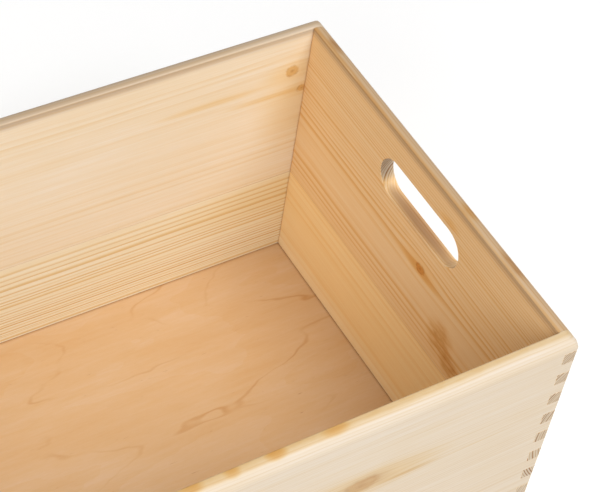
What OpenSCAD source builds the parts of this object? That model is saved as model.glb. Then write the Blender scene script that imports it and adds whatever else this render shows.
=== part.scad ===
// Open toy box in solid pine, with finger-jointed corners and a plywood base.
// Millimetres. X runs along the box, Y from front to back and Z up.
// The origin is the middle of the underside.

/* [Box] */
// Length outside, from end wall to end wall
box_l = 600; // [500:10:900]
// Width outside, from front to back
box_w = 400; // [320:10:600]
// Height, from the underside to the rim
box_h = 300; // [240:5:400]
// Thickness of the pine boards
board_t = 13.5; // [12.5:0.5:18]
// Radius of the rounded outer edge of the rim
rim_r = 10.5; // [2:0.5:11]
// Radius of the eased inner edge of the rim
rim_ease = 1.5; // [0.5:0.5:2]
// Radius of the rounded upright corners
corner_r = 3; // [1:0.5:10]

/* [Boards and fingers] */
// Fingers in the height of a corner, odd so that the long walls own the first and the last
finger_count = 23; // [19:2:27]
// How many of those fingers are in the upper boards of the back and end walls
upper_fingers = 14; // [12:1:16]
// How many are in the upper board of the front wall, whose glue line is lower
front_upper_fingers = 17; // [12:1:18]

/* [Hand slots] */
// Length of a hand slot
slot_l = 120; // [100:1:140]
// Height of a hand slot
slot_h = 40; // [30:1:44]
// Rim down to the middle of a hand slot
slot_drop = 52; // [40:1:70]

/* [Base] */
// Thickness of the plywood panel
base_t = 5; // [3:0.5:9]
// Underside of the box up to the underside of the panel
base_lift = 8.5; // [4:0.5:18]
// Depth of the groove that holds the edges of the panel
groove_d = 5; // [3:0.5:6]
// Room left above the panel and beyond its edges, inside the groove
groove_play = 0.5; // [0.2:0.1:1]

/* [Hidden] */
$fn = 64;

finger_h = box_h / finger_count;
inner_l = box_l - 2 * board_t;
inner_w = box_w - 2 * board_t;
long_wall_y = (box_w - board_t) / 2;
end_wall_x = (box_l - board_t) / 2;

pine_pale = [0.93, 0.85, 0.71];
pine_warm = [0.90, 0.75, 0.54];
pine_amber = [0.88, 0.71, 0.48];
birch_ply = [0.84, 0.66, 0.45];

// Height of the line this many fingers below the rim
function finger_line(count) = box_h - count * finger_h;

// A board standing on edge along X, between two finger lines, and centred on X and Y.
// It keeps the even fingers (counted from 0 at the rim) when odd_fingers is false, or else the odd ones.
module jointed_board(length, first, last, odd_fingers) {
  difference() {
    translate([-length / 2, -board_t / 2, finger_line(last)])
      cube([length, board_t, (last - first) * finger_h]);
    for (finger = [first : last - 1])
      if ((finger % 2 == 1) != odd_fingers)
        for (side = [-1, 1])
          translate([side * length / 2, 0, finger_line(finger + 0.5)])
            cube([2 * board_t, 2 * board_t, finger_h], center = true);
  }
}

// Outline of the box across a given width, with the two upper corners rounded
module rim_outline(width) {
  translate([-width / 2, 0])
    square([width, box_h - rim_r]);
  translate([rim_r - width / 2, 0])
    square([width - 2 * rim_r, box_h]);
  for (side = [-1, 1])
    translate([side * (width / 2 - rim_r), box_h - rim_r])
      circle(rim_r);
}

// Outline of the box from above, with its four corners rounded
module plan_outline() {
  square([box_l - 2 * corner_r, box_w], center = true);
  square([box_l, box_w - 2 * corner_r], center = true);
  for (x_side = [-1, 1], y_side = [-1, 1])
    translate([x_side * (box_l / 2 - corner_r), y_side * (box_w / 2 - corner_r)])
      circle(corner_r);
}

// The outside of the whole box as one block: the rounded rim meets in a mitre at each corner
module rounded_block() {
  intersection() {
    rotate([90, 0, 0])
      linear_extrude(box_w, center = true)
        rim_outline(box_l);
    rotate([90, 0, 90])
      linear_extrude(box_l, center = true)
        rim_outline(box_w);
    linear_extrude(box_h)
      plan_outline();
  }
}

// Outline of the flare at the top of the inside, across a given inside width
module mouth_outline(width) {
  difference() {
    translate([-width / 2 - rim_ease, box_h - rim_ease])
      square([width + 2 * rim_ease, 2 * rim_ease]);
    for (side = [-1, 1])
      translate([side * (width / 2 + rim_ease), box_h - rim_ease])
        circle(rim_ease);
  }
}

// What is cut from the upper boards to ease the inner edge of the rim
module mouth() {
  intersection() {
    rotate([90, 0, 0])
      linear_extrude(box_w, center = true)
        mouth_outline(inner_l);
    rotate([90, 0, 90])
      linear_extrude(box_l, center = true)
        mouth_outline(inner_w);
  }
}

// Room for the base panel: cut from every lower board, it leaves a groove that stops inside the corners
module base_housing() {
  translate([0, 0, base_lift + (base_t + groove_play) / 2])
    cube([inner_l + 2 * groove_d, inner_w + 2 * groove_d, base_t + groove_play], center = true);
}

// A slot with round ends, through both end walls
module hand_slots() {
  translate([0, 0, box_h - slot_drop])
    rotate([90, 0, 90])
      linear_extrude(box_l + board_t, center = true) {
        square([slot_l - slot_h, slot_h], center = true);
        for (side = [-1, 1])
          translate([side * (slot_l - slot_h) / 2, 0])
            circle(slot_h / 2);
      }
}

module upper_long_board(side, split) {
  difference() {
    intersection() {
      translate([0, side * long_wall_y, 0])
        jointed_board(box_l, 0, split, false);
      rounded_block();
    }
    mouth();
  }
}

module lower_long_board(side, split) {
  difference() {
    intersection() {
      translate([0, side * long_wall_y, 0])
        jointed_board(box_l, split, finger_count, false);
      rounded_block();
    }
    base_housing();
  }
}

module upper_end_board(side) {
  difference() {
    intersection() {
      translate([side * end_wall_x, 0, 0])
        rotate([0, 0, 90])
          jointed_board(box_w, 0, upper_fingers, true);
      rounded_block();
    }
    hand_slots();
    mouth();
  }
}

module lower_end_board(side) {
  difference() {
    intersection() {
      translate([side * end_wall_x, 0, 0])
        rotate([0, 0, 90])
          jointed_board(box_w, upper_fingers, finger_count, true);
      rounded_block();
    }
    base_housing();
  }
}

module front_upper_board() {
  color(pine_pale) upper_long_board(-1, front_upper_fingers);
}

module front_lower_board() {
  color(pine_pale) lower_long_board(-1, front_upper_fingers);
}

module back_upper_board() {
  color(pine_pale) upper_long_board(1, upper_fingers);
}

module back_lower_board() {
  color(pine_amber) lower_long_board(1, upper_fingers);
}

module left_upper_board() {
  color(pine_warm) upper_end_board(-1);
}

module left_lower_board() {
  color(pine_amber) lower_end_board(-1);
}

module right_upper_board() {
  color(pine_warm) upper_end_board(1);
}

module right_lower_board() {
  color(pine_amber) lower_end_board(1);
}

// Plywood panel, resting on the lower side of the groove
module base_panel() {
  edge_grip = groove_d - groove_play;
  color(birch_ply)
    translate([0, 0, base_lift + base_t / 2])
      cube([inner_l + 2 * edge_grip, inner_w + 2 * edge_grip, base_t], center = true);
}

front_upper_board();
front_lower_board();
back_upper_board();
back_lower_board();
left_upper_board();
left_lower_board();
right_upper_board();
right_lower_board();
base_panel();
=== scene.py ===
"""Open toy box in solid pine: finger-jointed boards, a rounded rim and a plywood base."""

import math
from dataclasses import dataclass

import bmesh
import bpy
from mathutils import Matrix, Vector


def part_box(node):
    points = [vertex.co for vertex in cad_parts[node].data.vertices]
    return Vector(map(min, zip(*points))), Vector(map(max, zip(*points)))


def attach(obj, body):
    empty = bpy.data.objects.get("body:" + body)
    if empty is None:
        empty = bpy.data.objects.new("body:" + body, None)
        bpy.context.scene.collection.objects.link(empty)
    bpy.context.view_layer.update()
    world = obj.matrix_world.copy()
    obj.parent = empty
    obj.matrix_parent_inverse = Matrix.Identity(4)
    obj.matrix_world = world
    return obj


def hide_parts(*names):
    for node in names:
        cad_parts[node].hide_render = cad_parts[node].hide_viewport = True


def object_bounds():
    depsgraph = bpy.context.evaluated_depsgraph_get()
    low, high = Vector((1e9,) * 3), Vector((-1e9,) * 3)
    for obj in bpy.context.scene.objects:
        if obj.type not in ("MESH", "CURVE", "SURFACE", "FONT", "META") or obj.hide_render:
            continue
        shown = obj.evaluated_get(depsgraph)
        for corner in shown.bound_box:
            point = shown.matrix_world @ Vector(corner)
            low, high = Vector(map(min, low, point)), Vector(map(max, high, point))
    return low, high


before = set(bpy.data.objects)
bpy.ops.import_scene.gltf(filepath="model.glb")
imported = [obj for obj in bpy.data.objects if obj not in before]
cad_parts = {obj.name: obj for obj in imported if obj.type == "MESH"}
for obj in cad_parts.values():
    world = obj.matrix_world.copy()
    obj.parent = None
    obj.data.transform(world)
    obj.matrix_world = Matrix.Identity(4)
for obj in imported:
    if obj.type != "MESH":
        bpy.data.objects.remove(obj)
cad_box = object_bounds()

MM = 0.001

# Sizes that the boards share, in metres, from the CAD boxes where they can be read there
BOX_L = cad_box[1].x - cad_box[0].x
BOX_W = cad_box[1].y - cad_box[0].y
BOX_H = cad_box[1].z - cad_box[0].z
BOARD_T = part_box("front_upper_board")[1].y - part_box("front_upper_board")[0].y
PANEL_LOW, PANEL_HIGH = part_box("base_panel")
FINGERS = 23
FINGER_H = BOX_H / FINGERS
INNER_L = BOX_L - 2 * BOARD_T
INNER_W = BOX_W - 2 * BOARD_T
RIM_R = 10.5 * MM
RIM_EASE = 1.5 * MM
CORNER_R = 3 * MM
SLOT_L = 120 * MM
SLOT_H = 40 * MM
SLOT_Z = BOX_H - 52 * MM
GROOVE_D = 5 * MM
GROOVE_PLAY = 0.5 * MM
BOX_MIDDLE = Vector((0, 0, BOX_H / 2))

# Softening of the edges, and the flat margin left round a slot when it is cut
EDGE_R = 0.3 * MM
SLOT_EDGE_R = 0.7 * MM
SLOT_MARGIN = 6 * MM
PANEL_SAG = 0.4 * MM


# ---------------------------------------------------------------------------
# Shapes
# ---------------------------------------------------------------------------

def cell_solid(u_lines, t_lines, z_lines, filled):
    """Clean quads round the filled cells of a grid whose lines run along, through and up a board."""
    lines = (u_lines, t_lines, z_lines)
    size = [len(line) - 1 for line in lines]

    def is_full(cell):
        if any(not 0 <= cell[axis] < size[axis] for axis in range(3)):
            return False
        return filled(*[(lines[a][cell[a]] + lines[a][cell[a] + 1]) / 2 for a in range(3)])

    bm = bmesh.new()
    corners = {}

    def corner(index):
        if index not in corners:
            corners[index] = bm.verts.new([lines[a][index[a]] for a in range(3)])
        return corners[index]

    for i in range(size[0]):
        for j in range(size[1]):
            for k in range(size[2]):
                cell = (i, j, k)
                if not is_full(cell):
                    continue
                for axis in range(3):
                    for step in (0, 1):
                        beside = list(cell)
                        beside[axis] += 2 * step - 1
                        if is_full(beside):
                            continue
                        b, c = [other for other in range(3) if other != axis]
                        quad = []
                        for along_b, along_c in ((0, 0), (1, 0), (1, 1), (0, 1)):
                            index = list(cell)
                            index[axis] += step
                            index[b] += along_b
                            index[c] += along_c
                            quad.append(corner(tuple(index)))
                        bm.faces.new(quad)
    bmesh.ops.recalc_face_normals(bm, faces=bm.faces)
    return bm


def is_notch(length, u, z, odd_fingers):
    """True where the other wall's finger passes through the end of a board."""
    finger = int((BOX_H - z) / FINGER_H)
    return abs(u) > length / 2 - BOARD_T and (finger % 2 == 1) != odd_fingers


def finger_lines(first, last):
    return sorted(BOX_H - count * FINGER_H for count in range(first, last + 1))


def seam_height(name):
    """Height of the glue line between the two boards of a wall."""
    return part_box(f"{name}_upper_board")[0].z


def upper_board(length, odd_fingers, fingers, slot):
    """An upper board this many fingers high, with its grain along u and its inner face at t = 0."""
    half = length / 2
    u_lines = [-half, BOARD_T - half, half - BOARD_T, half]
    slot_patch = SLOT_L / 2 + SLOT_MARGIN
    if slot:
        u_lines[2:2] = [-slot_patch, slot_patch]
    z_lines = finger_lines(0, fingers)
    bm = cell_solid(u_lines, [0, BOARD_T], z_lines, lambda u, t, z: not is_notch(length, u, z, odd_fingers))
    if slot:
        above = min(z for z in z_lines if z > SLOT_Z + SLOT_H / 2)
        below = max(z for z in z_lines if z < SLOT_Z - SLOT_H / 2)
        cut_slot(bm, slot_patch, below, above)
    return bm


def lower_board(length, odd_fingers, first):
    """A lower board from the finger called first; its groove for the base stops inside the corners."""
    half = length / 2
    groove_end = half - BOARD_T + GROOVE_D
    groove_low = PANEL_LOW.z
    groove_high = PANEL_HIGH.z + GROOVE_PLAY
    u_lines = [-half, -groove_end, BOARD_T - half, half - BOARD_T, groove_end, half]
    z_lines = sorted(finger_lines(first, FINGERS) + [groove_low, groove_high])

    def filled(u, t, z):
        in_groove = t < GROOVE_D and abs(u) < groove_end and groove_low < z < groove_high
        return not in_groove and not is_notch(length, u, z, odd_fingers)

    return cell_solid(u_lines, [0, GROOVE_D, BOARD_T], z_lines, filled)


def slot_loop(bm, grow, depth, arc_steps=24):
    """One loop of corners round the slot, its outline grown by a little, at a depth in the board."""
    radius = SLOT_H / 2 + grow
    straight = (SLOT_L - SLOT_H) / 2
    loop = []
    for side in (1, -1):
        for step in range(arc_steps + 1):
            turn = math.pi * step / arc_steps - math.pi / 2
            u = side * (straight + radius * math.cos(turn))
            z = SLOT_Z + side * radius * math.sin(turn)
            loop.append(bm.verts.new((u, depth, z)))
    return loop


def cut_slot(bm, half_u, low_z, high_z, edge_steps=4):
    """Opens the patch between the given limits on both faces and lines the slot with softened edges."""
    def in_patch(face):
        centre = face.calc_center_median()
        return abs(face.normal.y) > 0.9 and abs(centre.x) < half_u and low_z < centre.z < high_z

    patches = [face for face in bm.faces if in_patch(face)]
    rims = {depth: set() for depth in (0, BOARD_T)}
    for face in patches:
        depth = 0 if face.calc_center_median().y < BOARD_T / 2 else BOARD_T
        for edge in face.edges:
            if not all(other in patches for other in edge.link_faces):
                rims[depth].add(edge)
    bmesh.ops.delete(bm, geom=patches, context="FACES_KEEP_BOUNDARY")
    kept = rims[0] | rims[BOARD_T]
    inside = [edge for edge in bm.edges if not edge.link_faces and edge not in kept]
    bmesh.ops.delete(bm, geom=inside, context="EDGES")

    profile = []
    for step in range(edge_steps + 1):
        turn = math.pi / 2 * step / edge_steps
        profile.append((SLOT_EDGE_R * (1 - math.sin(turn)), SLOT_EDGE_R * (1 - math.cos(turn))))
    profile += [(grow, BOARD_T - depth) for grow, depth in reversed(profile)]
    loops = [slot_loop(bm, grow, depth) for grow, depth in profile]
    for one, two in zip(loops, loops[1:]):
        for index in range(len(one)):
            after = (index + 1) % len(one)
            bm.faces.new((one[index], one[after], two[after], two[index]))
    for loop, depth in ((loops[0], 0), (loops[-1], BOARD_T)):
        ring = [bm.edges.get((loop[index - 1], loop[index])) for index in range(len(loop))]
        bmesh.ops.triangle_fill(bm, edges=list(rims[depth]) + ring, use_beauty=True)
    bmesh.ops.recalc_face_normals(bm, faces=bm.faces)


def soften(piece):
    """Rounds the weighted edges, eases every other sharp edge and keeps flat faces flat in the light."""
    rounding = piece.modifiers.new("rounding", "BEVEL")
    rounding.limit_method = "WEIGHT"
    rounding.width = RIM_R
    rounding.segments = 12
    easing = piece.modifiers.new("easing", "BEVEL")
    easing.limit_method = "ANGLE"
    easing.angle_limit = math.radians(60)
    easing.width = EDGE_R
    easing.segments = 2
    piece.modifiers.new("flat_faces", "WEIGHTED_NORMAL").keep_sharp = False


def weigh_edges(bm, length):
    """Marks the edges to be rounded: the rim's outer and inner edge and the outer upright corners."""
    weight = bm.edges.layers.float.new("bevel_weight_edge")

    def on_outside(point):
        return abs(point.y - BOARD_T) < EDGE_R or abs(abs(point.x) - length / 2) < EDGE_R

    def on_corner(point):
        return abs(point.y - BOARD_T) < EDGE_R and abs(abs(point.x) - length / 2) < EDGE_R

    def on_inside(point):
        return abs(point.y) < EDGE_R and abs(point.x) < length / 2 - BOARD_T

    for edge in bm.edges:
        ends = [vert.co for vert in edge.verts]
        middle = (ends[0] + ends[1]) / 2
        sharp = len(edge.link_faces) == 2 and edge.calc_face_angle() > 1
        on_top = all(abs(end.z - BOX_H) < EDGE_R for end in ends)
        if sharp and on_top and on_outside(middle):
            edge[weight] = 1
        elif sharp and on_top and on_inside(middle):
            edge[weight] = RIM_EASE / RIM_R
        elif sharp and on_corner(middle):
            edge[weight] = CORNER_R / RIM_R


def finish_piece(bm, name):
    """Turns a finished shape into a smooth-shaded piece with softened edges."""
    bmesh.ops.recalc_face_normals(bm, faces=bm.faces)
    mesh = bpy.data.meshes.new(name)
    bm.to_mesh(mesh)
    bm.free()
    for polygon in mesh.polygons:
        polygon.use_smooth = True
    piece = bpy.data.objects.new(name, mesh)
    bpy.context.scene.collection.objects.link(piece)
    soften(piece)
    return piece


def place_board(bm, name, side, across):
    """Puts a board into its wall; across is X for an end wall and Y for a long one."""
    reach = INNER_L / 2 if across == "X" else INNER_W / 2
    for vert in bm.verts:
        u, t, z = vert.co
        out = side * (reach + t)
        vert.co = (out, u, z) if across == "X" else (u, out, z)
    return finish_piece(bm, name)


def plywood_base(columns=24, rows=16):
    """The base panel, whose faces sag together a little between the grooves that hold its edges."""
    low, high = PANEL_LOW, PANEL_HIGH
    x_lines = [low.x + (high.x - low.x) * step / columns for step in range(columns + 1)]
    y_lines = [low.y + (high.y - low.y) * step / rows for step in range(rows + 1)]
    bm = cell_solid(x_lines, y_lines, [low.z, high.z], lambda x, y, z: True)
    for vert in bm.verts:
        bow_x = math.cos(math.pi * vert.co.x / (high.x - low.x))
        bow_y = math.cos(math.pi * vert.co.y / (high.y - low.y))
        vert.co.z -= PANEL_SAG * bow_x * bow_y
    return finish_piece(bm, "plywood_base")


# ---------------------------------------------------------------------------
# Materials
# ---------------------------------------------------------------------------

class Signal:
    """A number or colour that varies over a surface, so that a material can be written as a formula."""

    def __init__(self, socket):
        self.socket = socket

    def feed(self, target):
        tree = target.id_data
        tree.links.new(self.socket, target)

    def math(self, operation, *others):
        node = self.socket.id_data.nodes.new("ShaderNodeMath")
        node.operation = operation
        for target, value in zip(node.inputs, (self, *others)):
            connect(value, target)
        return Signal(node.outputs[0])

    def __add__(self, other):
        return self.math("ADD", other)

    def __sub__(self, other):
        return self.math("SUBTRACT", other)

    def __rsub__(self, other):
        return (self * -1).math("ADD", other)

    def __mul__(self, other):
        return self.math("MULTIPLY", other)

    def __truediv__(self, other):
        return self.math("DIVIDE", other)

    def smooth(self, low, high):
        """A soft step from 0 at low to 1 at high."""
        node = self.socket.id_data.nodes.new("ShaderNodeMapRange")
        node.interpolation_type = "SMOOTHSTEP"
        for target, value in zip(node.inputs, (self, low, high)):
            connect(value, target)
        return Signal(node.outputs[0])


def connect(value, target):
    if isinstance(value, Signal):
        value.feed(target)
    else:
        target.default_value = value


def length_of(*sides):
    total = sides[0] * sides[0]
    for side in sides[1:]:
        total = total + side * side
    return total.math("SQRT")


def vector(tree, parts):
    node = tree.nodes.new("ShaderNodeCombineXYZ")
    for target, value in zip(node.inputs, parts):
        connect(value, target)
    return Signal(node.outputs[0])


def noise(place, spans, detail=2, shift=0):
    """Smooth noise from about -1 to 1; spans gives the size of its patches along each part of the place."""
    tree = place[0].socket.id_data
    node = tree.nodes.new("ShaderNodeTexNoise")
    node.inputs["Scale"].default_value = 1
    node.inputs["Detail"].default_value = detail
    vector(tree, [part / span + shift for part, span in zip(place, spans)]).feed(node.inputs["Vector"])
    return (Signal(node.outputs["Fac"]) - 0.5) * 2.5


def random_step(number):
    """A different number from 0 to 1 for each whole number."""
    node = number.socket.id_data.nodes.new("ShaderNodeTexWhiteNoise")
    node.noise_dimensions = "1D"
    number.feed(node.inputs["W"])
    return Signal(node.outputs["Value"])


def stained(tree, colour, stains):
    """The colour seen through stains, each a tint that it takes on once for each unit of its amount."""
    channels = []
    for index in range(3):
        channel = colour[index]
        for tint, amount in stains:
            darkening = (amount * math.log(tint[index])).math("EXPONENT")
            channel = darkening * channel
        channels.append(channel)
    return vector(tree, channels)


def new_material(name):
    material = bpy.data.materials.new(name)
    material.use_nodes = True
    shader = material.node_tree.nodes["Principled BSDF"]
    return material, material.node_tree, shader


def surface(tree, shader, colour, roughness, height, height_mm):
    """Feeds the shader; height runs from about -1 to 1, and height_mm is the size of that bump."""
    colour.feed(shader.inputs["Base Color"])
    roughness.feed(shader.inputs["Roughness"])
    bump = tree.nodes.new("ShaderNodeBump")
    bump.inputs["Distance"].default_value = height_mm * MM
    height.feed(bump.inputs["Height"])
    tree.links.new(bump.outputs["Normal"], shader.inputs["Normal"])


def place_on(tree, axes):
    """Millimetres along the given axes, such as "XZY", and how far the surface faces each of them."""
    source = tree.nodes.new("ShaderNodeTexCoord")
    parts = {}
    for output in ("Object", "Normal"):
        split = tree.nodes.new("ShaderNodeSeparateXYZ")
        tree.links.new(source.outputs[output], split.inputs[0])
        parts[output] = [Signal(split.outputs["XYZ".index(axis)]) for axis in axes]
    place = [part / MM for part in parts["Object"]]
    facing = [part.math("ABSOLUTE") for part in parts["Normal"]]
    return place, facing


AMBER = (0.94, 0.81, 0.58)
UMBER = (0.76, 0.66, 0.58)
END_GRAIN = (0.50, 0.41, 0.30)


def near(value, line, width):
    """1 on a line, falling to 0 at this distance from it."""
    return 1 - (value - line).math("ABSOLUTE").smooth(0, width)


@dataclass
class Knot:
    """Where a branch passed through a board, in millimetres along it and up from the floor.

    A tight knot has a ringed core; a faint one only bends the rings and darkens them round it.
    """
    along: float
    up: float
    radius: float
    stretch: float = 1.2
    core: float = 1.0
    halo: float = 0.5


@dataclass
class Mark:
    """A soft-edged stain or patch of painted shade: its middle along, up and through a board, its half
    sizes and its strength.

    Grey pulls the wood to the colour of end grain, and mottled breaks the stain into patches.
    """
    middle: tuple
    half: tuple
    amber: float = 0.0
    umber: float = 0.0
    grey: float = 0.0
    mottled: float = 0.0


@dataclass
class Timber:
    """How one board was sawn: its pith line, up the board and through it, and the rings round that."""
    pith: tuple
    ring: float
    pale: tuple
    lines: float = 1.0
    grey: float = 0.15
    lean: float = 0.0
    wander: float = 5.0
    seed: int = 0
    knots: tuple = ()
    marks: tuple = ()


def from_knot(place, knot, stretch):
    along, up, through = place
    return length_of((along - knot.along) / stretch, up - knot.up)


def round_knots(place, knots):
    """How far up the board the grain runs at a place: it flows round each knot."""
    flow = place[1]
    for knot in knots:
        far = from_knot(place, knot, 2.2 * knot.stretch)
        square = far * far
        reach = knot.radius * 1.6
        flow = (flow - knot.up) * (square / (square + reach * reach)) + knot.up
    return flow


def growth_rings(place, wood):
    """How dark the rings are at a place, from 0 in the pale early wood to about 1 in the late wood."""
    along, up, through = place
    shift = wood.seed * 7.3
    flow = round_knots(place, wood.knots)
    flow = flow + noise(place, (420, 110, 110), shift=shift) * wood.wander
    flow = flow + noise(place, (90, 26, 26), shift=shift) * 0.7
    radius = length_of(flow - wood.pith[0], through - wood.pith[1]) + along * wood.lean
    age = radius / wood.ring + noise((radius, radius, radius), (wood.ring * 5,) * 3, shift=shift) * 0.9
    number = age.math("FLOOR")
    part = age - number
    strength = random_step(number + wood.seed * 31) * 0.8 + 0.2
    late = part.smooth(0.40, 0.93) * (1 - part.smooth(0.94, 1.0))
    return late * strength


def knot_stains(place, knots):
    """The amber and umber stain of the knots: a ringed core, a broken dark rim and warm wood round it."""
    amber = place[0] * 0
    umber = place[0] * 0
    for knot in knots:
        rough_edge = noise(place, (5, 3, 6), detail=3, shift=knot.along) * knot.radius * 0.22
        far = from_knot(place, knot, knot.stretch) + rough_edge
        core = 1 - far.smooth(knot.radius * 0.7, knot.radius * 1.15)
        broken = noise(place, (knot.radius, knot.radius, 20), shift=knot.up).smooth(-0.3, 0.4)
        rim = near(far, knot.radius * 0.95, knot.radius * 0.35) * broken
        eye = 1 - far.smooth(0, knot.radius * 0.45)
        rings = (far * (math.tau / 1.4)).math("SINE") * core * 0.3
        halo = 1 - from_knot(place, knot, 2.4 * knot.stretch).smooth(knot.radius * 0.4, knot.radius * 2.6)
        amber = amber + (core * 1.1 + rings) * knot.core + halo * knot.halo
        umber = umber + (rim * 0.9 + eye * 0.7 + core * 0.25) * knot.core
    return amber, umber


def mark_stains_and_painted_shade(place, marks):
    """The amber and umber of the marks, stains and painted shade alike, and how far they pull the wood to
    the colour of end grain.
    """
    amber = place[0] * 0
    umber = place[0] * 0
    grey = place[0] * 0
    for mark in marks:
        sides = [(part - middle) / half for part, middle, half in zip(place, mark.middle, mark.half)]
        amount = 1 - length_of(*sides).smooth(0.2, 1.0)
        if mark.mottled:
            patches = noise(place, (12, 4, 4), detail=4, shift=mark.middle[0]).smooth(-0.4, 0.7)
            amount = amount * (patches * mark.mottled + (1 - mark.mottled))
        amber = amber + amount * mark.amber
        umber = umber + amount * mark.umber
        grey = grey + amount * mark.grey
    return amber, umber, grey


def joint_lines_and_painted_shade(place, facing, across, seam):
    """Thin dark lines where the pieces meet: the glue line is the wood's own, and the lines in the inside
    corners and along the base inside are painted shade.
    """
    along, up, through = place
    corner = (INNER_W if across == "X" else INNER_L) / 2 / MM
    inside = (1 - through.smooth(0.1, 0.6)) * facing[2].smooth(0.5, 0.9)
    # Painted shade in the inside corners and along the foot of the wall, where the base meets it.
    corners = near(along.math("ABSOLUTE"), corner, 1.6)
    base = near(up, PANEL_HIGH.z / MM, 1.6)
    return near(up, seam / MM, 0.9) * 0.8 + (corners * 0.7 + base * 0.9) * inside


def pine(name, wood, side, across, seam):
    """Sanded pine: rings, fibres, flecks, blotches, knots, grey end grain, joint lines with painted shade
    in the inside corners and along the base, and rubbed edges.
    """
    material, tree, shader = new_material(name)
    reach = INNER_L / 2 if across == "X" else INNER_W / 2
    axes = "YZX" if across == "X" else "XZY"
    place, facing = place_on(tree, axes)
    place[2] = place[2] * side - reach / MM
    shift = wood.seed * 11.7

    rings = growth_rings(place, wood)
    fibres = noise(place, (30, 1.0, 1.0), detail=2, shift=shift)
    threads = noise(place, (160, 2.3, 2.3), detail=2, shift=shift + 4)
    streaks = noise(place, (260, 9, 9), detail=3, shift=shift)
    blotches = noise(place, (150, 60, 60), detail=2, shift=shift)
    flecks = noise(place, (7, 0.8, 0.8), detail=1, shift=shift).smooth(0.60, 0.95)
    end_grain = facing[0].smooth(0.6, 0.95)
    rubbed = (1 - facing[0].math("MAXIMUM", facing[1]).math("MAXIMUM", facing[2])).smooth(0.06, 0.25)
    rubbed = rubbed * near(place[1], BOX_H / MM, 3 * RIM_R / MM)

    knot_amber, knot_umber = knot_stains(place, wood.knots)
    mark_amber, mark_umber, mark_grey = mark_stains_and_painted_shade(place, wood.marks)
    ring_stain = rings * (end_grain * 1.5 + 1) * wood.lines
    amber = ring_stain + fibres * 0.20 + threads * 0.26 + streaks * 0.16 + blotches * 0.15
    amber = amber * (1 - end_grain * 0.6) + knot_amber + mark_amber - rubbed * 0.12
    umber = ring_stain * (end_grain * 1.0 + wood.grey) + threads * 0.04 + flecks * 0.25
    umber = umber + knot_umber + mark_umber + joint_lines_and_painted_shade(place, facing, across, seam)
    greying = [end / pale for end, pale in zip(END_GRAIN, wood.pale)]
    greyed = (end_grain + mark_grey).math("MINIMUM", 1)
    colour = stained(tree, wood.pale, ((AMBER, amber), (UMBER, umber), (greying, greyed)))

    roughness = fibres * 0.05 - rings * 0.08 - rubbed * 0.06 + end_grain * 0.12 + 0.60
    surface(tree, shader, colour, roughness, fibres + threads, height_mm=0.015)
    shader.inputs["Specular IOR Level"].default_value = 0.35
    return material


def birch_plywood(name):
    """Birch plywood: cloudy peeled veneer with broken contour lines and flecks, plies at the edges, and
    painted shade along the walls.
    """
    material, tree, shader = new_material(name)
    place, facing = place_on(tree, "XYZ")
    along, across, up = place

    swell = noise(place, (230, 95, 400), detail=1, shift=3.1)
    swell = swell + noise(place, (70, 26, 400), shift=5.7) * 0.16
    layers = swell * 2.3
    part = layers - layers.math("FLOOR")
    contour = near(part, 0.5, 0.05) * noise(place, (120, 50, 400), shift=9).smooth(-0.2, 0.4)
    cloud = noise(place, (150, 24, 400), detail=4, shift=1.3)
    ripple = noise(place, (34, 6, 400), detail=3, shift=8.2)
    threads = noise(place, (45, 1.8, 400), detail=2, shift=4.4)
    pores = noise(place, (6, 0.8, 400), detail=1, shift=2.2)
    flecks = noise(place, (10, 1.3, 400), detail=1, shift=6.4).smooth(0.58, 0.9)
    edge = 1 - facing[2].smooth(0.3, 0.7)
    ply = (up * math.pi).math("SINE").smooth(-0.2, 0.2) * edge
    # Painted shade on the base in a narrow strip along the foot of each wall.
    painted_end_wall_shade = near(along.math("ABSOLUTE"), INNER_L / 2 / MM, 2.5)
    painted_wall_shade = near(across.math("ABSOLUTE"), INNER_W / 2 / MM, 2.5) + painted_end_wall_shade

    amber = cloud * 0.42 + ripple * 0.22 + threads * 0.18 + pores * 0.14 + (part - 0.5) * 0.2
    amber = amber + contour * 0.6 + ply * 1.2
    umber = contour * 0.4 + flecks * 0.8 + cloud * 0.08 + ply * 0.4 + edge * 0.2 + painted_wall_shade * 0.8
    colour = stained(tree, (0.60, 0.385, 0.205), ((AMBER, amber), (UMBER, umber)))
    roughness = cloud * 0.04 + pores * 0.03 + edge * 0.15 + 0.46
    surface(tree, shader, colour, roughness, pores + ripple, height_mm=0.008)
    shader.inputs["Specular IOR Level"].default_value = 0.4
    return material


def studio_floor(name):
    """A pale matt floor with a faint mottle."""
    material, tree, shader = new_material(name)
    place, facing = place_on(tree, "XYZ")
    mottle = noise(place, (400, 400, 400), detail=3)
    colour = stained(tree, (0.96, 0.96, 0.96), (((0.99, 0.99, 0.985), mottle),))
    surface(tree, shader, colour, mottle * 0.02 + 0.8, mottle, height_mm=0.05)
    return material


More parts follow.
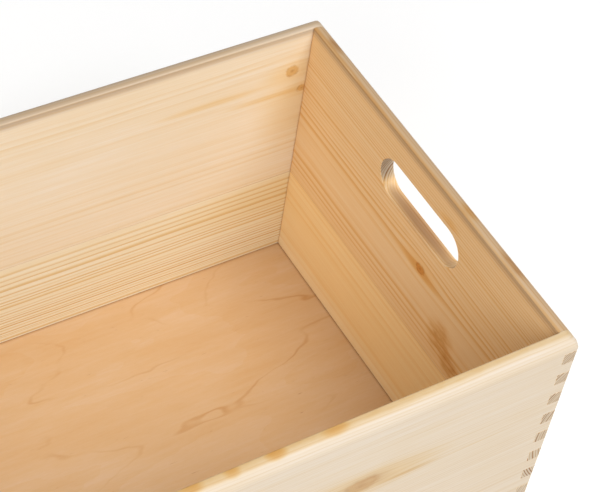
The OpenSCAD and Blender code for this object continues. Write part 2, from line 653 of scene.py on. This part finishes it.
TIMBER = {
    ("front", "upper"): Timber(
        # Painted shade: this pale colour is about two thirds of the back boards', darker than the wood, to
        # offset the light that falls on the front face.
        pith=(95, 70), ring=2.4, pale=(0.58, 0.485, 0.37), lines=0.35, grey=0.7, seed=1,
        knots=(Knot(112, 222, 9, stretch=1.7, core=0.45, halo=0.9),),
        marks=(
            Mark((112, 222, 13), (34, 14, 7), umber=0.9, mottled=0.5),
            Mark((155, 213, 12), (42, 3.5, 6), amber=0.7, umber=0.25),
            Mark((220, 212, 12), (60, 2, 6), amber=0.35),
            Mark((0, 300, 2), (700, 8, 8), amber=1.5, mottled=0.3),
            Mark((32, 299, 3), (12, 6, 7), amber=2.0),
            Mark((82, 299, 3), (16, 6, 7), amber=1.6),
            Mark((-4, 299, 3), (9, 6, 7), amber=1.4),
            Mark((-37, 299, 3), (14, 6, 7), amber=1.6),
        ),
    ),
    ("front", "lower"): Timber(
        # Painted shade: this pale colour is darkened like the upper board's, to offset the light that falls
        # on the front face.
        pith=(20, 60), ring=2.6, pale=(0.58, 0.475, 0.355), lines=0.5, grey=0.4, seed=2,
    ),
    ("back", "upper"): Timber(
        pith=(215, -160), ring=2.6, pale=(0.87, 0.745, 0.56), lines=0.38, seed=3,
        knots=(Knot(270.5, 254, 6.2, stretch=1.1), Knot(283.5, 228.5, 4.2, stretch=1.1, core=0.8)),
        marks=(
            Mark((190, 244, 0), (75, 5, 10), amber=0.8),
            Mark((245, 229, 0), (50, 4, 10), amber=0.7),
            Mark((285, 215, 0), (60, 75, 10), amber=0.6),
            # Painted shade: a dark grey band along the whole rim, darkening the rounded edge that turns
            # away from the light.
            Mark((0, 300, 8), (900, 12, 18), umber=0.8, grey=0.8),
        ),
    ),
    ("back", "lower"): Timber(
        pith=(150, 190), ring=1.84, pale=(0.885, 0.795, 0.60), lines=2.1, grey=0.25, wander=3, seed=4,
        marks=(Mark((290, 90, 0), (160, 50, 12), amber=0.5),),
    ),
    ("right", "upper"): Timber(
        pith=(170, 90), ring=2.6, pale=(0.88, 0.62, 0.34), lines=1.2, grey=0.2, seed=5,
        knots=(Knot(-19, 195.5, 5, stretch=1.3, core=1.0, halo=0.7),),
        marks=(
            Mark((-64, 150, 0), (24, 26, 14), amber=1.7, umber=0.9, mottled=0.7),
            Mark((-84, 134, 0), (20, 16, 14), amber=1.7, umber=1.0, mottled=0.7),
            Mark((-40, 276, 0), (20, 6, 12), amber=1.1, mottled=0.4),
            Mark((-52, 300, 8), (16, 6, 8), amber=1.6),
            # Painted shade: a dark grey band along the whole rim, darkening the rounded edge that turns
            # away from the light.
            Mark((0, 300, 8), (900, 12, 18), umber=0.9, grey=0.7),
            # Painted shade in the hand slot: the umber darkens its lower face where shade falls, and the
            # grey is the colour of its cut wood.
            Mark((0, 228, 7), (75, 5, 10), umber=1.9, grey=0.3),
            Mark((160, 300, 8), (16, 6, 8), amber=1.0, umber=1.2, mottled=0.5),
            Mark((-114, 300, 8), (24, 6, 8), amber=1.2, umber=1.2, mottled=0.5),
        ),
    ),
    ("right", "lower"): Timber(
        pith=(60, 120), ring=2.6, pale=(0.96, 0.71, 0.38), lines=0.55, seed=6,
        marks=(Mark((0, 20, 0), (900, 20, 12), amber=-0.5),),
    ),
    ("left", "upper"): Timber(
        pith=(210, 100), ring=2.7, pale=(0.82, 0.63, 0.39), lines=0.8, seed=7,
        knots=(Knot(96, 178, 5.5, stretch=1.3, core=0.8),),
    ),
    ("left", "lower"): Timber(pith=(40, 80), ring=2.5, pale=(0.84, 0.66, 0.42), lines=0.8, seed=8),
}


# ---------------------------------------------------------------------------
# The box
# ---------------------------------------------------------------------------

def wall(name, side, across):
    """Both boards of one wall."""
    length = BOX_W if across == "X" else BOX_L
    odd_fingers = across == "X"
    split = round((BOX_H - seam_height(name)) / FINGER_H)
    boards = {
        "upper": upper_board(length, odd_fingers, split, slot=across == "X"),
        "lower": lower_board(length, odd_fingers, split),
    }
    for level, bm in boards.items():
        weigh_edges(bm, length)
        title = f"{name}_{level}_pine"
        piece = place_board(bm, title, side, across)
        material = pine(title, TIMBER[name, level], side, across, seam_height(name))
        piece.data.materials.append(material)
        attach(piece, "root")
        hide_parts(f"{name}_{level}_board")


wall("front", -1, "Y")
wall("back", 1, "Y")
wall("left", -1, "X")
wall("right", 1, "X")

base = plywood_base()
base.data.materials.append(birch_plywood("birch_plywood"))
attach(base, "root")
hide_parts("base_panel")

# ---------------------------------------------------------------------------
# Camera, light and floor
# ---------------------------------------------------------------------------

camera = bpy.data.objects.new("camera", bpy.data.cameras.new("camera"))
camera.location = (-0.4675, -0.8124, 1.4212)
camera.rotation_euler = [math.radians(turn) for turn in (41.206, -6.804, -30.340)]
camera.data.sensor_width = 36
camera.data.lens = 114.81
bpy.context.scene.collection.objects.link(camera)
bpy.context.scene.camera = camera

floor_mesh = bpy.data.meshes.new("floor")
floor_mesh.from_pydata([(-6, -6, 0), (6, -6, 0), (6, 6, 0), (-6, 6, 0)], [], [(0, 1, 2, 3)])
floor = bpy.data.objects.new("floor", floor_mesh)
floor.data.materials.append(studio_floor("studio_floor"))
bpy.context.scene.collection.objects.link(floor)


def soft_light(name, turn, height, distance, size, watts):
    """A square softbox that faces the box; turn is its compass angle in degrees from +X towards +Y."""
    data = bpy.data.lights.new(name, "AREA")
    data.shape = "SQUARE"
    data.size = size
    data.energy = watts
    light = bpy.data.objects.new(name, data)
    flat = distance * math.cos(math.radians(height))
    light.location = (
        flat * math.cos(math.radians(turn)),
        flat * math.sin(math.radians(turn)),
        distance * math.sin(math.radians(height)),
    )
    light.rotation_euler = (BOX_MIDDLE - light.location).to_track_quat("-Z", "Y").to_euler()
    bpy.context.scene.collection.objects.link(light)


soft_light("key", turn=-65, height=63, distance=3.2, size=1.6, watts=75)
soft_light("fill", turn=-140, height=35, distance=3.2, size=1.6, watts=36)

world = bpy.data.worlds.new("studio")
world.use_nodes = True
world.node_tree.nodes["Background"].inputs["Color"].default_value = (1, 1, 1, 1)
world.node_tree.nodes["Background"].inputs["Strength"].default_value = 0.47
bpy.context.scene.world = world
bpy.context.scene.view_settings.view_transform = "Standard"
